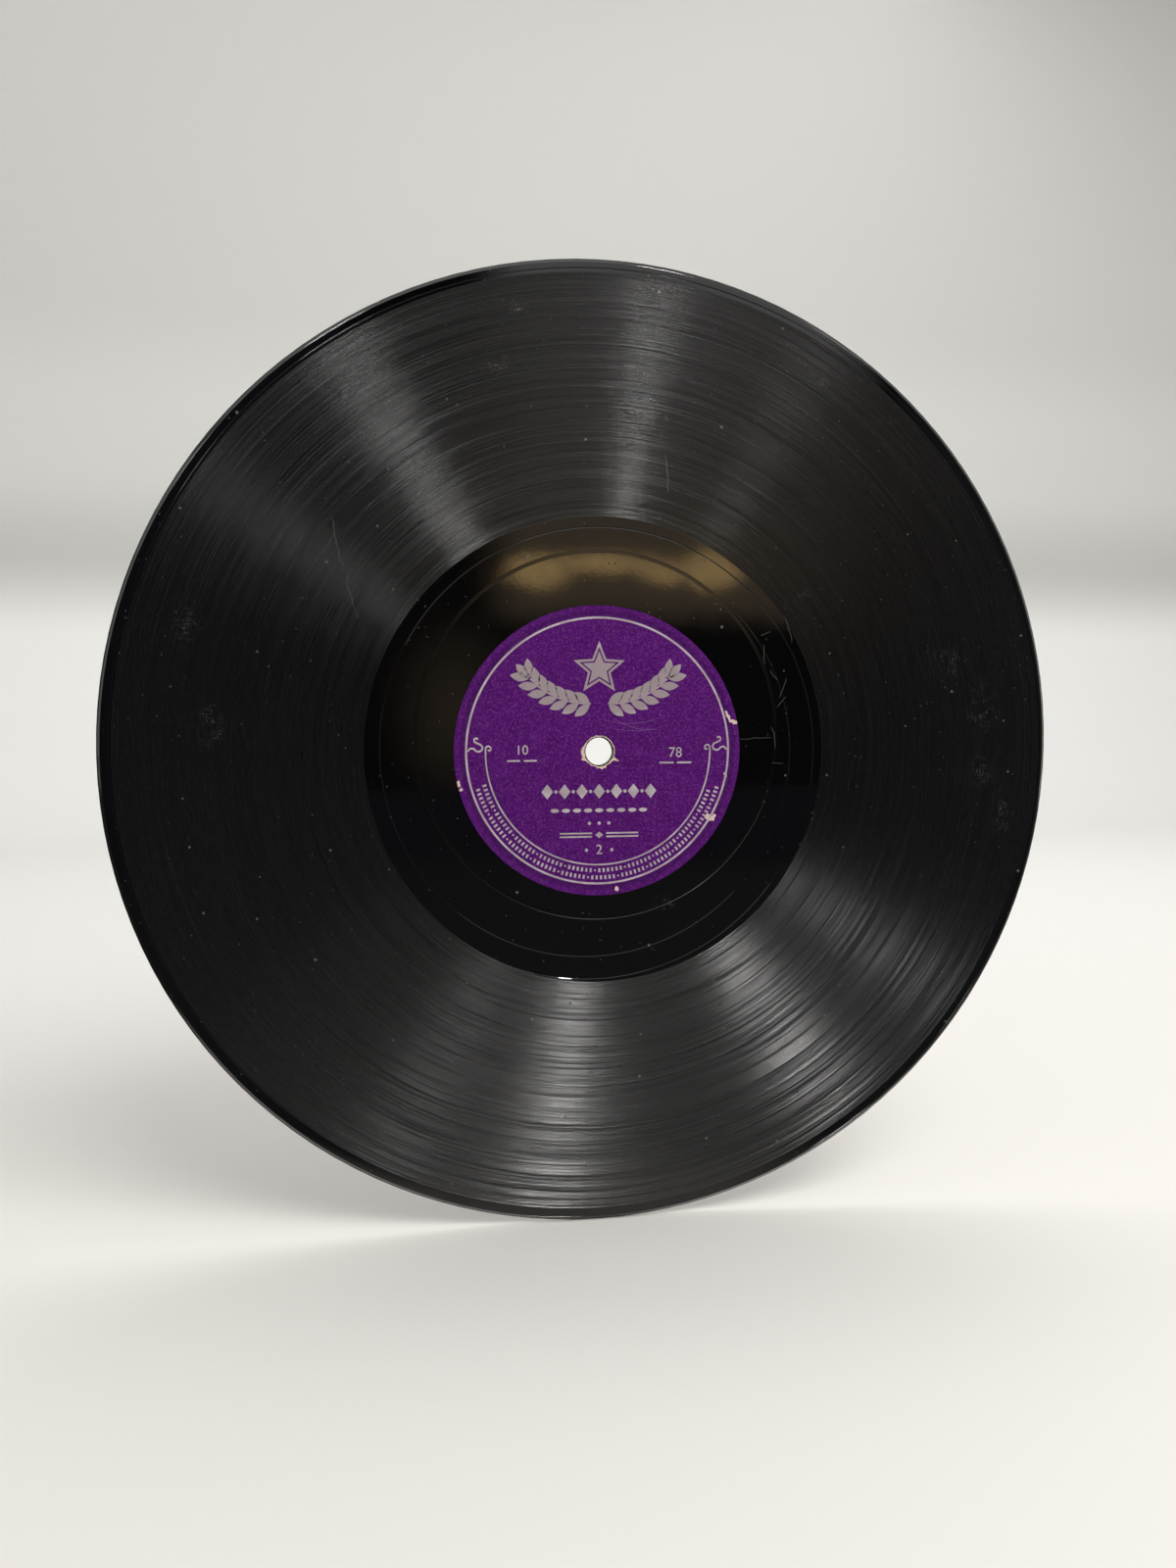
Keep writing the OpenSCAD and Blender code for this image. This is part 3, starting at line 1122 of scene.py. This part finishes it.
stamp(lozenge, 0, BAR_ROW, 90, 0.55)
print("marks so far:", len(ink_marks))

# %% Bars and the two curved rows along the edge
BAR_THICK = 0.42
SIZE_AT = (-20.4, 0.4)
SPEED_AT = (20.5, -0.5)
bar = ink_disc("bar", 4, 1.0, 1.0)
edit()
bpy.ops.transform.rotate(value=math.pi / 4, orient_axis="Z", center_override=(0, 0, 0))
bpy.ops.transform.resize(value=(math.sqrt(2), math.sqrt(2), 1), center_override=(0, 0, 0))
leave_edit()
for way in (1, -1):
    for y in (-21.55, -22.45):
        stamp(bar, way * 6.2, y).scale = (8.6, BAR_THICK, 1)
    stamp(bar, SPEED_AT[0] + way * 2.4, -3.1).scale = (3.9, BAR_THICK, 1)
    stamp(bar, SIZE_AT[0] + way * 2.2, -2.3).scale = (3.4, BAR_THICK, 1)
ROW_START, ROW_END = 196.0, 344.0
DASH_STEP = 1.16
for row_r, shift in ((31.4, 0.0), (33.3, 0.5)):
    step = math.degrees(DASH_STEP / row_r)
    for number in range(int((ROW_END - ROW_START) / step)):
        turn = ROW_START + (number + shift) * step
        at = around((0, 0), row_r, math.radians(turn))
        if number % 7 == 6:
            stamp(dot, *at, turn, 0.6)
        else:
            stamp(bar, *at, turn + 90).scale = (0.55, 1.05, 1)
for mark in (lozenge, dot, petal, bar):
    put_away(mark)
print("marks so far:", len(ink_marks))

# %% Plain numbers
FIGURE_SHARE = 0.72


def ink_number(text, x, y, high):
    """A number in the built-in font, made a mesh and put in place."""
    deselect()
    bpy.ops.object.text_add()
    number = bpy.context.object
    number.data.body = text
    number.data.size = high * MM / FIGURE_SHARE
    number.data.align_x = "CENTER"
    number.data.align_y = "CENTER"
    number.data.resolution_u = 6
    number.data.extrude = INK_THICK / 2 * MM
    bpy.ops.object.convert(target="MESH")
    number.location = (x * MM, y * MM, INK_MIDDLE * MM)
    edit()
    select_all()
    bpy.ops.mesh.remove_doubles(threshold=1e-7)
    bpy.ops.mesh.normals_make_consistent(inside=False)
    leave_edit()
    return number


ink_marks += [ink_number("10", *SIZE_AT, 2.5), ink_number("78", *SPEED_AT, 2.7)]
print("numbers: 10 inches across, 78 turns a minute")

# %% One print for each face
def join_marks(name, marks):
    """Apply the place of every mark and join them into one piece."""
    deselect()
    for mark in marks:
        mark.select_set(True)
    bpy.context.view_layer.objects.active = marks[0]
    bpy.ops.object.transform_apply(location=True, rotation=True, scale=True)
    bpy.ops.object.join()
    whole = bpy.context.object
    whole.name = name
    return whole


SIDE_HIGH = 2.6
common = join_marks("front_print", ink_marks)
back_print = turned_copy(common, "back_print")
back_print.data.transform(Matrix.Rotation(-math.pi, 4, "Z"))
front_print = join_marks("front_print", [common, ink_number("2", 0, SIDE_ROW, SIDE_HIGH)])
back_print = join_marks("back_print", [back_print, ink_number("1", 0, SIDE_ROW, SIDE_HIGH)])
for ink in (front_print, back_print):
    stand_up(ink)
back_print.rotation_euler = (0, 0, math.pi)
bpy.ops.object.transform_apply(rotation=True)
for ink in (front_print, back_print):
    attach(ink, "root")
print("print faces:", len(front_print.data.polygons), len(back_print.data.polygons))

# %% [markdown]
# ## Dyed paper
# The label is cheap paper dyed right through its face: cloudy purple, with fine pale fibres, a few
# faint pale arcs and some chips at the edge where the pale core shows. The press ring is darkened
# with a painted shade. Fibres could be drawn one by one. A thin slice of a noise, where it passes
# through its middle value, gives the same wandering threads everywhere at once.

# %% Purple face
def threads(tree, place, scale, thin):
    """Thin wandering lines: 1 where a noise passes through its middle value."""
    away = calc(tree, "ABSOLUTE", calc(tree, "SUBTRACT", noise(tree, place, scale, 1), 0.5))
    return ramp(tree, away, thin, 0.0)


DYE, PALER_DYE = (0.052, 0.002, 0.097, 1), (0.072, 0.004, 0.127, 1)
GRAIN = (0.15, 0.036, 0.20, 1)
FIBRE = (0.25, 0.12, 0.31, 1)
PRESS_RING_SHADE = (0.032, 0.004, 0.055, 1)
dyed_paper, tree, shader, place = new_material("dyed_paper")
flat = vector_calc(tree, "MULTIPLY", place, (1, 0, 1))
cloud = noise(tree, place, 0.35, 4, 0.6)
grain = noise(tree, place, 1.7, 4, 0.75)
dye = mix(tree, ramp(tree, cloud, 0.3, 0.7), DYE, PALER_DYE)
dye = mix(tree, ramp(tree, grain, 0.46, 0.68, 0.0, 0.75), dye, GRAIN)
bunched = ramp(tree, noise(tree, place, 0.6, 2), 0.45, 0.65)
fibre = times(tree, threads(tree, place, 1.1, 0.014), bunched, 0.4)
dye = mix(tree, fibre, dye, FIBRE)
out = vector_calc(tree, "LENGTH", flat)
# Painted shade: the band of the press ring is mixed half way to a darker purple
pressed = times(tree, ramp(tree, out, 35.3, 35.7), ramp(tree, out, 36.9, 36.3))
dye = mix(tree, times(tree, pressed, 0.5), dye, PRESS_RING_SHADE)
print("dyed paper nodes so far:", len(tree.nodes))

# %% Chips and faint pale arcs in the paper
CHIPS = [
    ((34.0, 10.6), (35.6, 7.8), 0.5), ((35.0, 7.9), (37.6, 7.4), 0.75),
    ((28.6, -17.2), (31.2, -18.6), 0.8), ((30.6, -18.9), (31.4, -16.9), 0.6),
    ((4.2, -36.2), (5.4, -36.5), 0.8), ((-37.2, -7.4), (-36.8, -9.0), 0.7),
    ((-35.9, -9.3), (-36.5, -9.9), 0.5), ((33.9, -5.8), (34.6, -7.2), 0.35),
]
PALE_ARCS = [((8.0, 30.5), 23.2), ((9.5, 33.0), 27.6), ((14.0, 24.0), 18.4)]
CHIPPED = (0.62, 0.47, 0.42, 1)
PALE_ARC_TONE = (0.30, 0.17, 0.33, 1)
shift = calc(tree, "MULTIPLY_ADD", noise(tree, place, 0.9, 3, 0.7), 1.6, -0.8)
rough_place = vector_calc(tree, "ADD", place, shift)
worn = largest(tree, [scratch(tree, rough_place, *chip) for chip in CHIPS])
dye = mix(tree, ramp(tree, worn, 0.2, 0.45), dye, CHIPPED)
near_hole = patch(tree, place, (9.5, 7.0), 12, 5)
# Three faint pale arcs near the hole
for middle, radius in PALE_ARCS:
    away = vector_calc(tree, "DISTANCE", flat, (middle[0], 0, middle[1]))
    pale_arc = ramp(tree, calc(tree, "ABSOLUTE", calc(tree, "SUBTRACT", away, radius)), 0.11, 0.0)
    dye = mix(tree, times(tree, pale_arc, near_hole, 0.5), dye, PALE_ARC_TONE)
wire(tree, dye, shader.inputs["Base Color"])
wire(tree, ramp(tree, grain, 0.3, 0.7, 0.62, 0.8), shader.inputs["Roughness"])
shader.inputs["Specular IOR Level"].default_value = 0.04
bump = tree.nodes.new("ShaderNodeBump")
bump.inputs["Strength"].default_value = 0.35
bump.inputs["Distance"].default_value = 0.03 * MM
wire(tree, grain, bump.inputs["Height"])
wire(tree, bump.outputs[0], shader.inputs["Normal"])
print("dyed paper nodes:", len(tree.nodes))

# %% Pale core, where the face is torn away
CORE, PALER_CORE = (0.42, 0.27, 0.21, 1), (0.74, 0.60, 0.50, 1)
paper_core, tree, shader, place = new_material("paper_core")
fluff = noise(tree, place, 3.0, 4, 0.7)
core = mix(tree, ramp(tree, fluff, 0.35, 0.65), CORE, PALER_CORE)
wire(tree, core, shader.inputs["Base Color"])
shader.inputs["Roughness"].default_value = 0.9
for paper in (front_paper, back_paper):
    paper.data.materials.append(dyed_paper)
    paper.data.materials.append(paper_core)
    for face in paper.data.polygons:
        middle = face.center / MM
        low = PAPER_BACK_Z + 0.02 < abs(middle.y) < PAPER_Z - 0.015
        face.material_index = int(low and math.hypot(middle.x, middle.z) < 8)
print("core faces:", sum(face.material_index for face in front_paper.data.polygons))

# %% [markdown]
# ## Silver ink
# The ink is a dull silver that has thinned with handling, so the purple shows through it in specks.

# %% Ink
SILVER, PALER_SILVER = (0.40, 0.33, 0.36, 1), (0.55, 0.48, 0.51, 1)
RUBBED = (0.34, 0.275, 0.295, 1)
DYE_BELOW = (0.12, 0.03, 0.17, 1)
silver_ink, tree, shader, place = new_material("silver_ink")
speck = noise(tree, place, 4.0, 3, 0.7)
thin = noise(tree, place, 0.22, 2)
bare = ramp(tree, calc(tree, "ADD", speck, times(tree, thin, 0.35)), 0.80, 0.92)
tone = mix(tree, ramp(tree, thin, 0.35, 0.65), SILVER, PALER_SILVER)
tone = mix(tree, patch(tree, place, (0, 18.5), 27, 10, 0.2), tone, RUBBED)
wire(tree, mix(tree, bare, tone, DYE_BELOW), shader.inputs["Base Color"])
wire(tree, ramp(tree, speck, 0.3, 0.7, 0.38, 0.55), shader.inputs["Roughness"])
shader.inputs["Metallic"].default_value = 0.25
for ink in (front_print, back_print):
    ink.data.materials.clear()
    ink.data.materials.append(silver_ink)
print("ink nodes:", len(tree.nodes))
